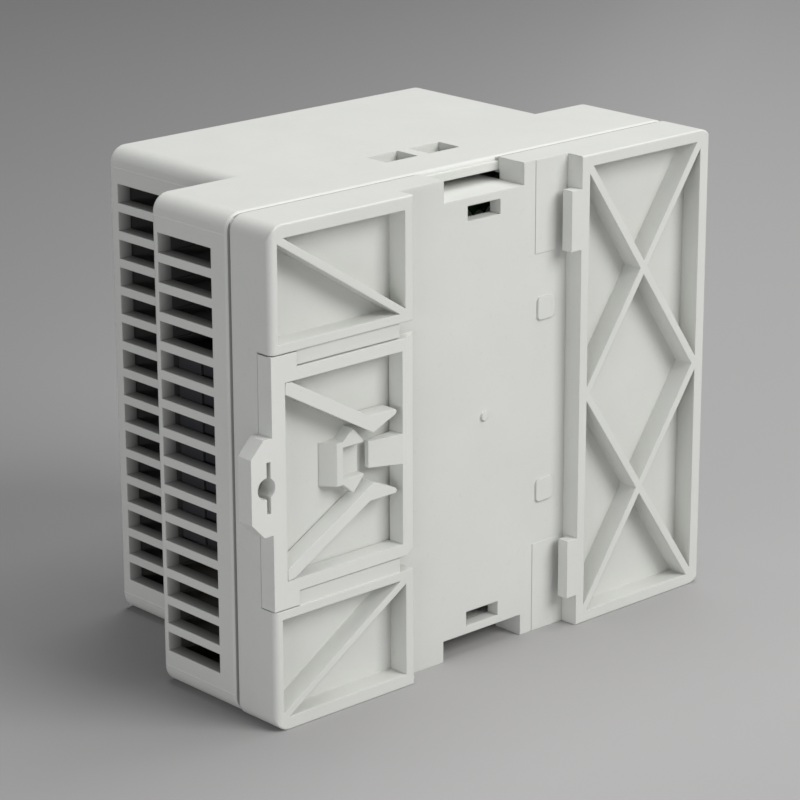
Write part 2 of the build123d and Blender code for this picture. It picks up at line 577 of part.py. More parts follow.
CHOKE = (19.0, 4.6, 35.0)   # X, Y, Z
with BuildPart() as choke_core:
    with BuildSketch(Plane.YZ.offset(CHOKE[0] - 3)):
        with Locations((CHOKE[1], CHOKE[2])):
            Circle(9.4)
            Circle(5.6, mode=Mode.SUBTRACT)
    extrude(amount=6)
save(choke_core, "choke_core")

with BuildPart() as choke_windings:
    with BuildSketch(Plane.YZ.offset(CHOKE[0] - 4.2)):
        with Locations((CHOKE[1], CHOKE[2])):
            Circle(10.6)
            Circle(4.4, mode=Mode.SUBTRACT)
            Rectangle(22, 7, mode=Mode.SUBTRACT)
    extrude(amount=8.4)
    with BuildSketch(Plane.YZ.offset(CHOKE[0] - 3.02)):
        with Locations((CHOKE[1], CHOKE[2])):
            Circle(9.42)
            Circle(5.58, mode=Mode.SUBTRACT)
    extrude(amount=6.04, mode=Mode.SUBTRACT)
    for z in (CHOKE[2] - 8, CHOKE[2] + 8):
        rod(CHOKE[0] + 3.6, z, (CHOKE[1] + 2, BOARD_FRONT), 0.5)
save(choke_windings, "choke_windings")

with BuildPart() as bridge_rectifier:
    block((21.2, 24.8), (1.0, 12.5), (50.5, 68.5))
    for z in (52.5, 57.2, 61.8, 66.5):
        block((22.6, 23.4), (12.4, BOARD_FRONT), (z - 0.5, z + 0.5))
save(bridge_rectifier, "bridge_rectifier")

BULK = (9.8, 62.0)
with BuildPart() as bulk_capacitor:
    rod(*BULK, (-17.0, 15.0), 8.6)
    fillet(bulk_capacitor.edges(), radius=0.8)
    for offset in (-3.75, 3.75):
        rod(BULK[0], BULK[1] + offset, (14.5, BOARD_FRONT), 0.5)
save(bulk_capacitor, "bulk_capacitor")


def sleeve(x, z, y, radius):
    """Shrunk sleeve round a capacitor can, folded over its front edge."""
    rod(x, z, y, radius + 0.25)
    rod(x, z, (y[0] + 0.3, y[1] + 1), radius + 0.02, Mode.SUBTRACT)
    rod(x, z, (y[0] - 1, y[0] + 1), radius - 1.6, Mode.SUBTRACT)


with BuildPart() as bulk_capacitor_sleeve:
    sleeve(*BULK, (-17.4, 14.6), 8.6)
save(bulk_capacitor_sleeve, "bulk_capacitor_sleeve")

# ---- Power stage ---------------------------------------------------------------------
with BuildPart() as primary_heatsink:
    block((-3.0, 20.0), (-16.0, BOARD_FRONT), (7.4, 9.4))
    block((-3.0, -1.0), (-16.0, 13.0), (7.4, 14.0))
    with Locations((9.0, -2.6, 8.4)):
        Cylinder(1.6, 4, mode=Mode.SUBTRACT)
save(primary_heatsink, "primary_heatsink")

with BuildPart() as switching_transistor:
    block((4.0, 14.0), (-6.0, 9.0), (9.6, 14.0))
    block((4.0, 14.0), (-6.2, 0.5), (11.0, 14.2), Mode.SUBTRACT)
    with Locations((9.0, -2.6, 10)):
        Cylinder(1.7, 6, mode=Mode.SUBTRACT)
    for x in (6.5, 9.0, 11.5):
        block((x - 0.4, x + 0.4), (8.9, BOARD_FRONT), (11.6, 12.1))
save(switching_transistor, "switching_transistor")

CORE_Z = (28.4, 39.6)
LEG_X = (-6.4, 2.4)
with BuildPart() as transformer_core:
    with BuildSketch(Plane.XY.offset(CORE_Z[0])):
        with Locations((-2, 0.5)):
            Rectangle(28, 24)
        for x in (-9.45, 5.45):
            with Locations((x, 0.5)):
                Rectangle(6.1, 17.0, mode=Mode.SUBTRACT)
    extrude(amount=CORE_Z[1] - CORE_Z[0])
save(transformer_core, "transformer_core")

with BuildPart() as transformer_bobbin:
    for y in ((-7.9, -7.1), (8.1, 8.9)):
        block((-12.3, 8.3), y, (22.6, 45.4))
    block((LEG_X[0] - 0.9, LEG_X[1] + 0.9), (-7.9, 8.9), (CORE_Z[0] - 0.9, CORE_Z[1] + 0.9))
    block((LEG_X[0] - 0.1, LEG_X[1] + 0.1), (-9, 10), (CORE_Z[0] - 0.1, CORE_Z[1] + 0.1), Mode.SUBTRACT)
    for z in ((19.5, 28.2), (39.8, 48.5)):
        block((-13.0, 9.0), (8.1, 14.4), z)
        for i in range(5):
            rod(-11 + 4.5 * i, (z[0] + z[1]) / 2, (14, BOARD_FRONT), 0.4)
save(transformer_bobbin, "transformer_bobbin")

with BuildPart() as transformer_winding:
    block((-12.1, 8.1), (-7.0, 8.0), (23.0, 45.0))
    fillet(transformer_winding.edges().filter_by(Axis.Y), radius=2.5)
    block((LEG_X[0] - 1.0, LEG_X[1] + 1.0), (-9, 10), (CORE_Z[0] - 1.0, CORE_Z[1] + 1.0), Mode.SUBTRACT)
save(transformer_winding, "transformer_winding")

# ---- Output side -----------------------------------------------------------------------
with BuildPart() as secondary_heatsink:
    block((-19.2, -17.2), (-18.0, BOARD_FRONT), (22.0, 63.0))
    with Locations((-18.2, -2.6, 46.5)):
        Cylinder(1.6, 4, rotation=(0, 90, 0), mode=Mode.SUBTRACT)
save(secondary_heatsink, "secondary_heatsink")

with BuildPart() as output_rectifier:
    block((-23.8, -19.4), (-6.0, 9.0), (41.5, 51.5))
    block((-24.0, -20.8), (-6.2, 0.5), (41.5, 51.5), Mode.SUBTRACT)
    with Locations((-20, -2.6, 46.5)):
        Cylinder(1.7, 6, rotation=(0, 90, 0), mode=Mode.SUBTRACT)
    for z in (44.0, 46.5, 49.0):
        block((-21.9, -21.4), (8.9, BOARD_FRONT), (z - 0.4, z + 0.4))
save(output_rectifier, "output_rectifier")

with BuildPart() as heatsink_screws:
    with Locations((9.0, -2.6, 10.1)):
        Cylinder(1.45, 5.4)
    with Locations((9.0, -2.6, 12.1)):
        Cylinder(2.6, 2.0)
    with Locations((-20.1, -2.6, 46.5)):
        Cylinder(1.45, 5.8, rotation=(0, 90, 0))
    with Locations((-21.9, -2.6, 46.5)):
        Cylinder(2.6, 2.0, rotation=(0, 90, 0))
save(heatsink_screws, "heatsink_screws")

OUTPUT_CAPS = [(-25.4, z) for z in (11.6, 22.8, 34.0)]
with BuildPart() as output_capacitors:
    for x, z in OUTPUT_CAPS:
        rod(x, z, (-5.0, 15.2), 4.8)
        rod(x, z, (-5.1, -4.7), 3.6)
        for offset in (-2.5, 2.5):
            rod(x, z + offset, (15.0, BOARD_FRONT), 0.35)
save(output_capacitors, "output_capacitors")

with BuildPart() as output_capacitor_sleeves:
    for x, z in OUTPUT_CAPS:
        rod(x, z, (-5.4, 14.8), 5.05)
        rod(x, z, (-5.1, 16), 4.82, Mode.SUBTRACT)
        rod(x, z, (-7, 0), 3.8, Mode.SUBTRACT)
save(output_capacitor_sleeves, "output_capacitor_sleeves")

COIL = (-26.0, 57.0)
with BuildPart() as output_choke_core:
    rod(*COIL, (2.0, 15.0), 2.0)
    rod(*COIL, (1.0, 2.5), 4.4)
    rod(*COIL, (14.0, BOARD_FRONT), 4.4)
save(output_choke_core, "output_choke_core")

with BuildPart() as output_choke_winding:
    rod(*COIL, (2.55, 13.95), 4.1)
    rod(*COIL, (2, 15), 2.05, Mode.SUBTRACT)
save(output_choke_winding, "output_choke_winding")

# ---- Control board with the trimmer and the status light -------------------------------
RISER_Z = (69.4, 71.0)
with BuildPart() as control_board:
    block((-30.0, -9.0), (-22.5, BOARD_FRONT), RISER_Z)
save(control_board, "control_board")

with BuildPart() as controller_chip:
    block((-15.0, -11.0), (-6.0, 4.0), (67.8, 69.2))
    for i in range(8):
        y = -5.4 + 1.27 * i
        for x in ((-16.0, -14.9), (-11.1, -10.0)):
            block(x, (y - 0.2, y + 0.2), (69.0, RISER_Z[0]))
    block((-15.0, -11.0), (-5.9, 3.9), (69.0, RISER_Z[0]))
save(controller_chip, "controller_chip")

with BuildPart() as optocoupler:
    block((-24.0, -18.0), (4.0, 9.0), (66.4, 69.0))
    for x in ((-24.8, -23.9), (-18.1, -17.2)):
        for y in (5.2, 7.8):
            block(x, (y - 0.3, y + 0.3), (67.6, RISER_Z[0]))
save(optocoupler, "optocoupler")

ROTOR_R = 2.1
with BuildPart() as trimmer_body:
    block((TRIMMER[0] - 3.4, TRIMMER[0] + 3.4), (-23.4, -17.4), (62.2, RISER_Z[0]))
    rod(*TRIMMER, (-24, -19.0), ROTOR_R + RUNNING_GAP, Mode.SUBTRACT)
save(trimmer_body, "trimmer_body")

with BuildPart() as trimmer_rotor:
    rod(*TRIMMER, (-25.2, -19.1), ROTOR_R)
    block((TRIMMER[0] - 0.35, TRIMMER[0] + 0.35), (-26, -24.2),
          (TRIMMER[1] - 1.7, TRIMMER[1] + 1.7), Mode.SUBTRACT)
    block((TRIMMER[0] - 1.7, TRIMMER[0] + 1.7), (-26, -24.2),
          (TRIMMER[1] - 0.35, TRIMMER[1] + 0.35), Mode.SUBTRACT)
save(trimmer_rotor, "trimmer_rotor")

with BuildPart() as status_led:
    rod(*LED, (-21.6, -18.2), 1.45)
    rod(*LED, (-18.6, -17.6), 1.8)
    block((LED[0] - 1.5, LED[0] - 0.9), (-17.7, -14.0), (LED[1] - 0.3, LED[1] + 0.3))
    block((LED[0] + 0.9, LED[0] + 1.5), (-17.7, -14.0), (LED[1] - 0.3, LED[1] + 0.3))
    for x in (LED[0] - 1.2, LED[0] + 1.2):
        block((x - 0.3, x + 0.3), (-14.6, -14.0), (LED[1], RISER_Z[0]))
save(status_led, "status_led")

with BuildPart() as light_pipe:
    rod(*LED, (FRONT, -22.0), 1.5)
    fillet(light_pipe.faces().sort_by(Axis.Y)[0].edges(), radius=0.6)
    rod(*LED, (FRONT + SIDE_WALL, FRONT + SIDE_WALL + 1), 2.3)
save(light_pipe, "light_pipe")
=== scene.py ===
import json
import math

import bpy
from mathutils import Matrix, Vector

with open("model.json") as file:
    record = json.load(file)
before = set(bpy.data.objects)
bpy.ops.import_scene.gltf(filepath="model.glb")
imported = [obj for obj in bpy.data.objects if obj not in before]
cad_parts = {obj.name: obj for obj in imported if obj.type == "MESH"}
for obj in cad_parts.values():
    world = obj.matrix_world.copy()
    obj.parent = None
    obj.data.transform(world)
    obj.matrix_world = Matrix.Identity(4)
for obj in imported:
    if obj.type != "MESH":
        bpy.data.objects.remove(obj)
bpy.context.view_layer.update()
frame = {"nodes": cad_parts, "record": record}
nodes = frame["nodes"]

MM = 0.001

# Camera. Angles are in degrees and lengths in millimetres.
CAMERA_AZIMUTH = 42.38          # from +Y towards +X
CAMERA_ELEVATION = 17.81
CAMERA_ROLL = -0.19
CAMERA_TARGET = (-1.07, 3.23, 36.09)
CAMERA_DISTANCE = 493.3
CAMERA_LENS = 137.66
CAMERA_SENSOR = 36.0

# Studio, in metres.
SKY, SKY_STRENGTH = (0.80, 0.81, 0.82, 1), 0.18
LIGHTS_FACE = (0, 0, 0.04)
LIGHTS = (                      # name, place, width and height, power, colour
    ("key", (-0.28, 0.71, 0.60), (0.55, 0.55), 6.8, (1.0, 1.0, 0.985)),
    ("top", (-0.25, -0.05, 0.95), (0.8, 0.8), 6.5, (1.0, 1.0, 1.0)),
    ("fill", (0.95, 0.33, 0.15), (0.7, 0.22), 2.9, (0.98, 0.99, 1.0)),
)
FLOOR_TURN = 42                 # degrees, side that the floor's open end faces
FLOOR_NEAR, FLOOR_FAR = 5.0, -0.9
FLOOR_HALF_WIDTH = 2.5
CURVE_RADIUS, CURVE_STEPS = 0.5, 16
BACKDROP_TOP = 2.4
PAPER = (0.355, 0.350, 0.352)
LIGHT_FALLOFF_TILT = 0.2                # how far the painted light falloff on the paper leans towards the open end
PAPER_LIGHT_FALLOFF = (                # place along the painted light falloff, and factor on the colour
    (-0.22, 0.68), (-0.16, 0.72), (-0.11, 0.77), (-0.06, 0.85),
    (-0.035, 0.91), (-0.015, 1.0), (0.012, 1.07), (0.06, 1.04),
)

# Plastics of the shells and the latch.
CASE = (0.655, 0.662, 0.635)
LATCH = (0.675, 0.682, 0.658)
# painted highlight on the raised parting line: factor on the colour and its share; then the
# height of its bump
LINE_HIGHLIGHT, LINE_HIGHLIGHT_SHARE, LINE_HEIGHT = 1.35, 0.6, 6.0
# factors on the colour for painted shade: in the vents, in the gap between the shells, and on the
# faces inside the shells
VENT_SHADE, GAP_SHADE, INSIDE_SHADE = 0.3, 0.5, 0.12

# Places on the shells, in millimetres.
HALF_WIDTH = 39.0               # middle of the case above the floor
LINE_FROM_MIDDLE = 35.9         # parting line
LINE_HALF = 0.16
FRONT_SHELL_END = 18.5
NOSE_INSIDE_X, NOSE_INSIDE_Y = (-32.85, 29.95), (-26.05, 4.0)
CASE_INSIDE_X, CASE_INSIDE_Y = (-44.05, 44.05), (2.12, 22.55)
INSIDE_HALF_WIDTH = 37.05
SNAP_X, SNAP_HALF = (-9.5, 11.5), 34.2
NOSE_MIDDLE, NOSE_HALF = -1.45, 33.85
CASE_HALF = 46.5
END_THICKNESS = 2.46
NOSE_ROWS, CASE_ROWS = (-25.95, -2.95), (2.15, 14.75)
SEAM_GAP, GAP_DEPTH = (18.28, 19.15), 0.75
NOTCH_X = (-7.35, 9.55)


# ---- Camera -------------------------------------------------------------------
def place_camera():
    """Long lens, a little above the rear corner on the latch side."""
    azimuth = math.radians(CAMERA_AZIMUTH)
    elevation = math.radians(CAMERA_ELEVATION)
    roll = math.radians(CAMERA_ROLL)
    back = Vector((
        math.sin(azimuth) * math.cos(elevation),
        math.cos(azimuth) * math.cos(elevation),
        math.sin(elevation),
    ))
    target = Vector(CAMERA_TARGET) * MM
    right = Vector((0, 0, 1)).cross(back).normalized()
    up = back.cross(right)
    turned_right = math.cos(roll) * right + math.sin(roll) * up
    turned_up = math.cos(roll) * up - math.sin(roll) * right
    data = bpy.data.cameras.new("camera")
    data.lens = CAMERA_LENS
    data.sensor_width = CAMERA_SENSOR
    data.clip_start = 0.01
    camera = bpy.data.objects.new("camera", data)
    bpy.context.scene.collection.objects.link(camera)
    axes = Matrix((turned_right, turned_up, back)).transposed().to_4x4()
    camera.matrix_world = Matrix.Translation(target + back * CAMERA_DISTANCE * MM) @ axes
    bpy.context.scene.camera = camera


# ---- Light and floor ------------------------------------------------------------
def area_light(name, where, size, power, colour):
    """Soft rectangular light that faces the object."""
    data = bpy.data.lights.new(name, "AREA")
    data.shape = "RECTANGLE"
    data.size, data.size_y = size
    data.energy = power
    data.color = colour
    light = bpy.data.objects.new(name, data)
    bpy.context.scene.collection.objects.link(light)
    light.location = where
    aim = Vector(LIGHTS_FACE) - Vector(where)
    light.rotation_euler = aim.to_track_quat("-Z", "Y").to_euler()


def painted_light_backdrop(across):
    """Grey paper with a painted light falloff: it gets a little lighter along one direction of
    the floor.
    """
    paint = Paint("painted_light_backdrop")
    along = paint.node("ShaderNodeVectorMath", operation="DOT_PRODUCT")
    paint.put(along.inputs[0], paint.coordinates)
    paint.put(along.inputs[1], across)
    start, end = PAPER_LIGHT_FALLOFF[0][0], PAPER_LIGHT_FALLOFF[-1][0]
    past_start = paint.math("SUBTRACT", along.outputs["Value"], start)
    share = paint.math("DIVIDE", past_start, end - start)
    paint.set("Base Color", paint.ramp(share, [
        ((where - start) / (end - start), tint(PAPER, shade)) for where, shade in PAPER_LIGHT_FALLOFF
    ]))
    paint.set("Roughness", 0.8)
    return paint


def floor_profile():
    """Outline of the floor and its rise into a backdrop: distance out, and height."""
    outline = [(FLOOR_NEAR, 0.0)]
    for i in range(CURVE_STEPS + 1):
        turn = math.pi / 2 * i / CURVE_STEPS
        out = FLOOR_FAR - CURVE_RADIUS * math.sin(turn)
        outline.append((out, CURVE_RADIUS * (1 - math.cos(turn))))
    outline.append((FLOOR_FAR - CURVE_RADIUS, BACKDROP_TOP))
    return outline


def build_stage():
    """Pale floor that curves up into a backdrop, and soft studio light."""
    world = bpy.data.worlds.new("studio")
    bpy.context.scene.world = world
    world.use_nodes = True
    background = world.node_tree.nodes["Background"]
    background.inputs["Color"].default_value = SKY
    background.inputs["Strength"].default_value = SKY_STRENGTH

    profile = floor_profile()
    turn = math.radians(FLOOR_TURN)
    away = Vector((math.sin(turn), math.cos(turn), 0))
    side = Vector((away.y, -away.x, 0))
    verts, faces = [], []
    for out, up in profile:
        for across in (-FLOOR_HALF_WIDTH, FLOOR_HALF_WIDTH):
            verts.append(away * out + side * across + Vector((0, 0, up)))
    for i in range(len(profile) - 1):
        faces.append((2 * i, 2 * i + 1, 2 * i + 3, 2 * i + 2))
    mesh = bpy.data.meshes.new("backdrop")
    mesh.from_pydata(verts, [], faces)
    for face in mesh.polygons:
        face.use_smooth = True
    floor = bpy.data.objects.new("backdrop", mesh)
    bpy.context.scene.collection.objects.link(floor)
    # the paper's colour carries a painted light falloff across the floor
    mesh.materials.append(painted_light_backdrop(side * -1.0 + away * LIGHT_FALLOFF_TILT).material)

    for light in LIGHTS:
        area_light(*light)
    bpy.context.scene.view_settings.view_transform = "Standard"


# ---- Materials --------------------------------------------------------------------
class Paint:
    """A node material around one Principled shader, in object coordinates."""

    def __init__(self, name):
        self.material = bpy.data.materials.new(name)
        self.material.use_nodes = True
        self.tree = self.material.node_tree
        self.shader = self.tree.nodes["Principled BSDF"]
        self.coordinates = self.node("ShaderNodeTexCoord").outputs["Object"]

    def node(self, kind, **settings):
        made = self.tree.nodes.new(kind)
        for key, value in settings.items():
            setattr(made, key, value)
        return made

    def put(self, socket, value):
        """Links an output, or sets a constant."""
        if isinstance(value, bpy.types.NodeSocket):
            self.tree.links.new(value, socket)
        else:
            socket.default_value = value

    def set(self, name, value):
        self.put(self.shader.inputs[name], value)

    def stretched(self, scale):
        mapping = self.node("ShaderNodeMapping")
        self.put(mapping.inputs["Vector"], self.coordinates)
        mapping.inputs["Scale"].default_value = scale
        return mapping.outputs["Vector"]

    def noise(self, size_mm, detail=2.0, rough=0.5, vector=None):
        """Noise whose features are about size_mm across."""
        made = self.node("ShaderNodeTexNoise")
        self.put(made.inputs["Vector"], vector or self.coordinates)
        made.inputs["Scale"].default_value = 1000.0 / size_mm
        made.inputs["Detail"].default_value = detail
        made.inputs["Roughness"].default_value = rough
        return made.outputs["Fac"]

    def ramp(self, value, stops):
        """Colour ramp. Each stop is a position and a colour or a grey."""
        made = self.node("ShaderNodeValToRGB")
        self.put(made.inputs["Fac"], value)
        elements = made.color_ramp.elements
        while len(elements) < len(stops):
            elements.new(0.5)
        for element, (position, colour) in zip(elements, stops):
            channels = colour if isinstance(colour, tuple) else (colour, colour, colour)
            element.position = position
            element.color = (*channels, 1)
        return made.outputs["Color"]

    def math(self, operation, a, b=0.0, clamp=False):
        made = self.node("ShaderNodeMath", operation=operation, use_clamp=clamp)
        self.put(made.inputs[0], a)
        self.put(made.inputs[1], b)
        return made.outputs[0]

    def mix(self, share, a, b, blend="MIX"):
        made = self.node("ShaderNodeMix", data_type="RGBA", blend_type=blend)
        self.put(made.inputs["Factor"], share)
        self.put(made.inputs[6], (*a[:3], 1) if isinstance(a, tuple) else a)
        self.put(made.inputs[7], (*b[:3], 1) if isinstance(b, tuple) else b)
        return made.outputs[2]

    def scaled(self, value, factor, offset):
        """A value times a factor, plus an offset."""
        made = self.node("ShaderNodeMath", operation="MULTIPLY_ADD")
        for socket, part in zip(made.inputs, (value, factor, offset)):
            self.put(socket, part)
        return made.outputs[0]

    def axis(self, name):
        """One object coordinate, in millimetres."""
        split = self.node("ShaderNodeSeparateXYZ")
        self.put(split.inputs[0], self.coordinates)
        return self.math("MULTIPLY", split.outputs[name], 1000.0)

    def from_middle(self):
        """Distance from the middle of the case's width, in millimetres."""
        return self.math("ABSOLUTE", self.math("SUBTRACT", self.axis("Z"), HALF_WIDTH))

    def facing(self, name):
        """How squarely the surface faces along one object axis, either way."""
        split = self.node("ShaderNodeSeparateXYZ")
        self.put(split.inputs[0], self.node("ShaderNodeTexCoord").outputs["Normal"])
        return self.math("ABSOLUTE", split.outputs[name])

    def relief(self, height, depth_mm, rounding_mm=0.0):
        """Bump of a height from 0 to 1, over edges rounded in the shading."""
        bump = self.node("ShaderNodeBump")
        bump.inputs["Strength"].default_value = 1.0
        bump.inputs["Distance"].default_value = depth_mm * MM
        self.put(bump.inputs["Height"], height)
        if rounding_mm:
            bevel = self.node("ShaderNodeBevel", samples=6)
            bevel.inputs["Radius"].default_value = rounding_mm * MM
            self.put(bump.inputs["Normal"], bevel.outputs["Normal"])
        self.set("Normal", bump.outputs["Normal"])


def tint(colour, factor):
    return tuple(min(1.0, channel * factor) for channel in colour[:3])


def parting_line(paint):
    """1 on the raised line that the mould left along the vented ends."""
    off_line = paint.math("SUBTRACT", paint.from_middle(), LINE_FROM_MIDDLE)
    share = paint.math("DIVIDE", paint.math("ABSOLUTE", off_line), LINE_HALF)
    ridge = paint.math("SUBTRACT", 1.0, share, clamp=True)
    on_end = paint.math("GREATER_THAN", paint.facing("X"), 0.9)
    in_front = paint.math("LESS_THAN", paint.axis("Y"), FRONT_SHELL_END)
    return paint.math("MULTIPLY", ridge, paint.math("MULTIPLY", on_end, in_front))


def within(paint, value, low, high):
    """1 where a value in millimetres lies between two limits."""
    above = paint.math("GREATER_THAN", value, low)
    return paint.math("MULTIPLY", above, paint.math("LESS_THAN", value, high))


def both(paint, first, second):
    """1 where two masks are both 1."""
    return paint.math("MULTIPLY", first, second)


def outside_of(paint, mask):
    return paint.math("SUBTRACT", 1.0, mask)


def shaded_inner_faces(paint):
    """1 on the faces inside the shells, which see hardly any light in a packed case; the colour
    is darkened there as painted shade.
    """
    x, y, from_middle = paint.axis("X"), paint.axis("Y"), paint.from_middle()
    nose = both(paint, within(paint, x, *NOSE_INSIDE_X), within(paint, y, *NOSE_INSIDE_Y))
    rear = both(paint, within(paint, x, *CASE_INSIDE_X), within(paint, y, *CASE_INSIDE_Y))
    inside = paint.math("MAXIMUM", nose, rear)
    inside = both(paint, inside, paint.math("LESS_THAN", from_middle, INSIDE_HALF_WIDTH))
    near_side = paint.math("GREATER_THAN", from_middle, SNAP_HALF)
    at_snap = both(paint, within(paint, x, *SNAP_X), near_side)
    return both(paint, inside, outside_of(paint, at_snap))


def vent_shade_depth(paint):
    """From 0 at the outside of a vented end to 1 at its inner face, in the rows of vents; the
    colour is darkened along it as painted shade.
    """
    x, y = paint.axis("X"), paint.axis("Y")
    shares = []
    for middle, half, rows in ((NOSE_MIDDLE, NOSE_HALF, NOSE_ROWS), (0.0, CASE_HALF, CASE_ROWS)):
        out = paint.math("ABSOLUTE", paint.math("SUBTRACT", x, middle))
        depth = paint.math("SUBTRACT", half, out)
        share = paint.math("DIVIDE", depth, END_THICKNESS, clamp=True)
        share = both(paint, share, within(paint, depth, 0.0, END_THICKNESS))
        shares.append(both(paint, share, within(paint, y, *rows)))
    between_sides = paint.math("LESS_THAN", paint.from_middle(), INSIDE_HALF_WIDTH)
    return both(paint, paint.math("MAXIMUM", *shares), between_sides)


def seam_gap_shade(paint):
    """1 in the shadow gap between the shells, all round except at the notches; the colour is
    darkened there as painted shade.
    """
    x = paint.axis("X")
    at_side = paint.math("GREATER_THAN", paint.from_middle(), HALF_WIDTH - GAP_DEPTH)
    at_side = both(paint, at_side, outside_of(paint, within(paint, x, *NOTCH_X)))
    at_end = paint.math("GREATER_THAN", paint.math("ABSOLUTE", x), CASE_HALF - GAP_DEPTH)
    all_round = paint.math("MAXIMUM", at_side, at_end)
    return both(paint, all_round, within(paint, paint.axis("Y"), *SEAM_GAP))


def moulded(name, colour, rough=0.45, grain=0.25, depth=0.012, mottle=0.04, rounding=0.25,
            shell=False):
    """Injection-moulded plastic: fine grain, faint flow mottling, softened edges."""
    paint = Paint(name)
    cloud = paint.noise(14.0, 4.0, 0.55)
    darker, lighter = tint(colour, 1 - mottle), tint(colour, 1 + mottle)
    shade = paint.ramp(cloud, [(0.3, darker), (0.7, lighter)])
    speck = paint.noise(0.9, 3.0, 0.6)
    flecks = paint.ramp(speck, [(0.28, 0.965), (0.38, 1.0)])
    base = paint.mix(1.0, shade, flecks, "MULTIPLY")
    height = paint.noise(grain, 2.0, 0.6)
    if shell:
        ridge = parting_line(paint)
        # the raised parting line is lightened as painted highlight, and really raised in the bump
        # below
        base = paint.mix(paint.math("MULTIPLY", ridge, LINE_HIGHLIGHT_SHARE), base, tint(colour, LINE_HIGHLIGHT))
        height = paint.math("ADD", height, paint.math("MULTIPLY", ridge, LINE_HEIGHT))
        # painted shade on the vent walls, darker deeper into the vents
        base = paint.mix(vent_shade_depth(paint), base, tint(colour, VENT_SHADE))
        # painted shade in the gap between the shells
        base = paint.mix(seam_gap_shade(paint), base, tint(colour, GAP_SHADE))
        # painted shade on the faces inside the shells
        base = paint.mix(shaded_inner_faces(paint), base, tint(colour, INSIDE_SHADE))
    paint.set("Base Color", base)
    sheen = paint.noise(5.0, 3.0, 0.5)
    paint.set("Roughness", paint.scaled(sheen, 0.12, rough - 0.06))
    paint.set("Specular IOR Level", 0.38)
    paint.relief(height, depth, rounding)
    return paint


def metal(name, colour, rough=0.32, stretch=(1, 1, 1), metallic=1.0):
    """Plated or drawn metal, with fine lines where it is stretched."""
    paint = Paint(name)
    lines = paint.noise(0.35, 3.0, 0.6, paint.stretched(stretch))
    patches = paint.noise(3.0, 3.0, 0.5)
    darker, lighter = tint(colour, 0.86), tint(colour, 1.06)
    paint.set("Base Color", paint.ramp(patches, [(0.3, darker), (0.7, lighter)]))
    paint.set("Metallic", metallic)
    paint.set("Roughness", paint.scaled(lines, 0.22, rough - 0.1))
    paint.relief(lines, 0.006, 0.12)
    return paint


def glassy(name, colour, rough=0.05):
    """Clear or tinted glass, or clear plastic."""
    paint = Paint(name)
    haze = paint.noise(2.0, 3.0, 0.5)
    paint.set("Base Color", paint.ramp(haze, [(0.2, tint(colour, 0.93)), (0.8, colour)]))
    paint.set("Roughness", paint.scaled(haze, 0.06, rough))
    paint.set("Transmission Weight", 0.85)
    paint.set("IOR", 1.49)
    paint.relief(haze, 0.004, 0.15)
    return paint


def laminate(name, mask, track):
    """Solder-masked board, with tracks slightly raised and lighter."""
    paint = Paint(name)
    cells = paint.node("ShaderNodeTexVoronoi", feature="DISTANCE_TO_EDGE", distance="MANHATTAN")
    paint.put(cells.inputs["Vector"], paint.coordinates)
    cells.inputs["Scale"].default_value = 190.0
    lines = paint.ramp(cells.outputs["Distance"], [(0.06, 0.0), (0.10, 1.0)])
    weave = paint.noise(0.5, 2.0, 0.5)
    shade = paint.mix(lines, mask, track)
    grain = paint.ramp(weave, [(0.3, 0.88), (0.7, 1.06)])
    paint.set("Base Color", paint.mix(1.0, shade, grain, "MULTIPLY"))
    paint.set("Roughness", paint.ramp(lines, [(0.0, 0.42), (1.0, 0.30)]))
    paint.relief(lines, 0.035, 0.1)
    return paint


def wound(name, colour, pitch_mm, metallic):
    """Layers of wire or tape wound round the Y axis."""
    paint = Paint(name)
    along = paint.math("MULTIPLY", paint.axis("Y"), 2 * math.pi / pitch_mm)
    turns = paint.math("ABSOLUTE", paint.math("SINE", paint.math("MULTIPLY", along, 0.5)))
    tone = paint.noise(2.5, 3.0, 0.5)
    shade = paint.ramp(tone, [(0.3, tint(colour, 0.82)), (0.7, tint(colour, 1.08))])
    # the valleys between turns are darkened as painted shade
    groove_shade = paint.ramp(turns, [(0.0, 0.35), (0.35, 1.0)])
    paint.set("Base Color", paint.mix(1.0, shade, groove_shade, "MULTIPLY"))
    paint.set("Metallic", metallic)
    paint.set("Roughness", paint.ramp(tone, [(0.3, 0.3), (0.7, 0.42)]))
    paint.relief(turns, 0.25, 0.1)
    return paint


def speckled(name, colour, fleck, rough=0.75, size=0.5, depth=0.03):
    """Pressed ferrite, or a dipped coating."""
    paint = Paint(name)
    grain = paint.noise(size, 4.0, 0.65)
    stops = [(0.35, colour), (0.55, tint(colour, 1.15)), (0.72, fleck)]
    paint.set("Base Color", paint.ramp(grain, stops))
    paint.set("Roughness", paint.scaled(grain, 0.2, rough - 0.1))
    paint.relief(grain, depth, 0.2)
    return paint


def sleeve_film(name, colour, stripe):
    """Shrunk capacitor sleeve with a pale polarity stripe down one side."""
    paint = Paint(name)
    geometry = paint.node("ShaderNodeNewGeometry")
    split = paint.node("ShaderNodeSeparateXYZ")
    turned = paint.node("ShaderNodeVectorTransform", vector_type="NORMAL",
                        convert_from="WORLD", convert_to="OBJECT")
    paint.put(turned.inputs[0], geometry.outputs["Normal"])
    paint.put(split.inputs[0], turned.outputs[0])
    facing = paint.ramp(split.outputs["X"], [(0.93, 0.0), (0.94, 1.0)])
    wrinkle = paint.noise(4.0, 4.0, 0.6, paint.stretched((1, 0.35, 1)))
    shade = paint.ramp(wrinkle, [(0.3, tint(colour, 0.85)), (0.7, tint(colour, 1.2))])
    paint.set("Base Color", paint.mix(facing, shade, stripe))
    paint.set("Roughness", paint.ramp(wrinkle, [(0.3, 0.24), (0.7, 0.36)]))
    paint.relief(wrinkle, 0.05, 0.2)
    return paint


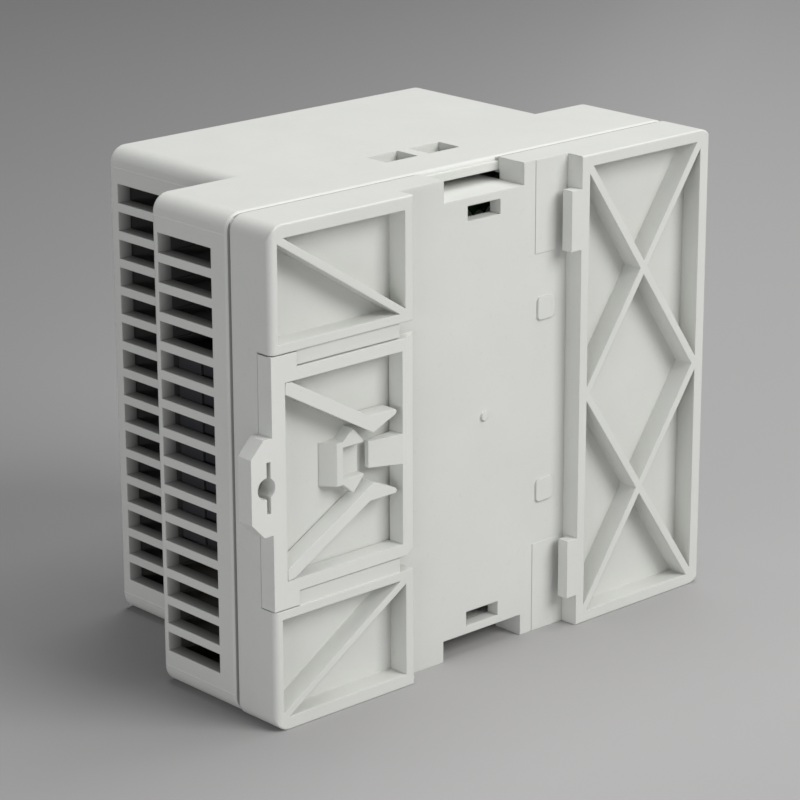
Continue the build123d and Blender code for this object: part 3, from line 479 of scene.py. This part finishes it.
PLAIN = (1, 1, 1)               # no stretch
PAINTS = {                      # slot: the function above, and its values after the name
    "case_plastic": (moulded, CASE, 0.56, 0.22, 0.010, 0.02, 0.24, True),
    "latch_plastic": (moulded, LATCH, 0.54, 0.22, 0.008, 0.02, 0.14),
    "label_film": (moulded, (0.74, 0.75, 0.75), 0.38, 0.5, 0.004, 0.015, 0.1),
    "board_laminate": (laminate, (0.045, 0.13, 0.04), (0.07, 0.20, 0.06)),
    # insulating_sheet: dark, partly the sheet's own colour and partly painted shade for the dark
    # behind the vents
    "insulating_sheet": (moulded, (0.13, 0.15, 0.13), 0.7, 0.6, 0.03, 0.12, 0.0),
    "zinc_screw": (metal, (0.66, 0.67, 0.66), 0.36),
    "terminal_screw": (metal, (0.72, 0.72, 0.70), 0.28),
    "terminal_plate": (metal, (0.30, 0.30, 0.29), 0.42, (1, 6, 1)),
    "contact_brass": (metal, (0.72, 0.55, 0.26), 0.32, (1, 6, 1)),
    "terminal_plastic": (moulded, (0.035, 0.035, 0.04), 0.5, 0.3, 0.015, 0.1),
    # solder: light like real solder, and left nearly white and barely metallic as a painted
    # glint, so the joints stay bright in the dark case
    "solder": (metal, (0.92, 0.92, 0.92), 0.35, PLAIN, 0.1),
    "fuse_glass": (glassy, (0.92, 0.96, 0.95)),
    "fuse_cap_metal": (metal, (0.75, 0.74, 0.70), 0.22),
    "varistor_coat": (speckled, (0.03, 0.09, 0.33), (0.06, 0.14, 0.42), 0.35, 1.5, 0.06),
    "thermistor_coat": (speckled, (0.03, 0.04, 0.03), (0.08, 0.09, 0.08), 0.6, 1.0, 0.08),
    "y_capacitor_coat": (speckled, (0.05, 0.16, 0.48), (0.10, 0.24, 0.58), 0.4, 1.5, 0.05),
    "film_capacitor_case": (moulded, (0.62, 0.44, 0.04), 0.35, 0.5, 0.01, 0.05),
    "choke_ferrite": (speckled, (0.04, 0.15, 0.07), (0.08, 0.22, 0.12), 0.5, 1.0, 0.04),
    "ferrite": (speckled, (0.045, 0.045, 0.05), (0.12, 0.12, 0.125), 0.7, 0.4, 0.03),
    "copper_wire": (wound, (0.55, 0.20, 0.07), 0.9, 0.9),
    "winding_tape": (wound, (0.72, 0.47, 0.04), 5.0, 0.0),
    "bobbin_plastic": (moulded, (0.035, 0.035, 0.035), 0.55, 0.3, 0.02, 0.1),
    "epoxy_package": (speckled, (0.022, 0.022, 0.024), (0.05, 0.05, 0.055), 0.6, 0.3, 0.02),
    "can_aluminium": (metal, (0.78, 0.79, 0.80), 0.30, (1, 8, 1)),
    "capacitor_sleeve": (sleeve_film, (0.02, 0.025, 0.06), (0.45, 0.46, 0.50)),
    "heatsink_aluminium": (metal, (0.72, 0.73, 0.74), 0.36, (1, 1, 8)),
    "trimmer_blue": (moulded, (0.02, 0.10, 0.38), 0.35, 0.4, 0.01, 0.05),
    "trimmer_white": (moulded, (0.80, 0.80, 0.76), 0.4, 0.4, 0.01, 0.03, 0.1),
    "led_epoxy": (glassy, (0.12, 0.62, 0.18), 0.15),
    "light_pipe_clear": (glassy, (0.62, 0.92, 0.66), 0.12),
}


def build_paints():
    """One paint for each material slot of the record."""
    return {name: make(name, *values) for name, (make, *values) in PAINTS.items()}


def paint_nodes(paints):
    """Gives every carried-over node the paint of its slot."""
    for part in frame["record"]["subparts"]:
        mesh = nodes[part["node"]].data
        material = paints[part["material_slot"]].material
        if not mesh.materials:
            mesh.materials.append(material)
        for index in range(len(mesh.materials)):
            mesh.materials[index] = material


place_camera()
build_stage()
paint_nodes(build_paints())
